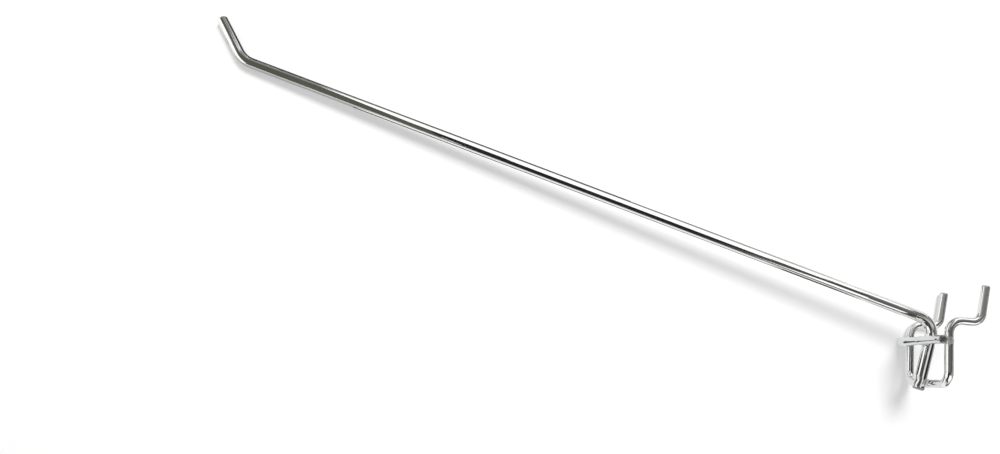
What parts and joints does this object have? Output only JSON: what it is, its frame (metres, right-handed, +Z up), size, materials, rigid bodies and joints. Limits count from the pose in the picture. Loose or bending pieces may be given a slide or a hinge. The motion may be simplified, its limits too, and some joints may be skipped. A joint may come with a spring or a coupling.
{
  "type": "pegboard hook",
  "caption": "Welded wire pegboard hook: long rising arm with an upturned tip, on a wire frame with legs, a cross bar and upturned prongs that hook into the holes of a board.",
  "frame": {"origin": "midway between the axes of the two runs that pass through the board, on the plane of the board's face", "axes": "+Z up, +Y into the board, -Y towards the tip of the arm, +X along the board"},
  "size_m": [0.0284, 0.2668, 0.1077],
  "materials": {
    "plated_wire": "bright plated steel wire"
  },
  "bodies": {
    "root": {"hook_arm": "plated_wire", "prong_frame": "plated_wire", "cross_bar": "plated_wire"}
  },
  "joints": []
}
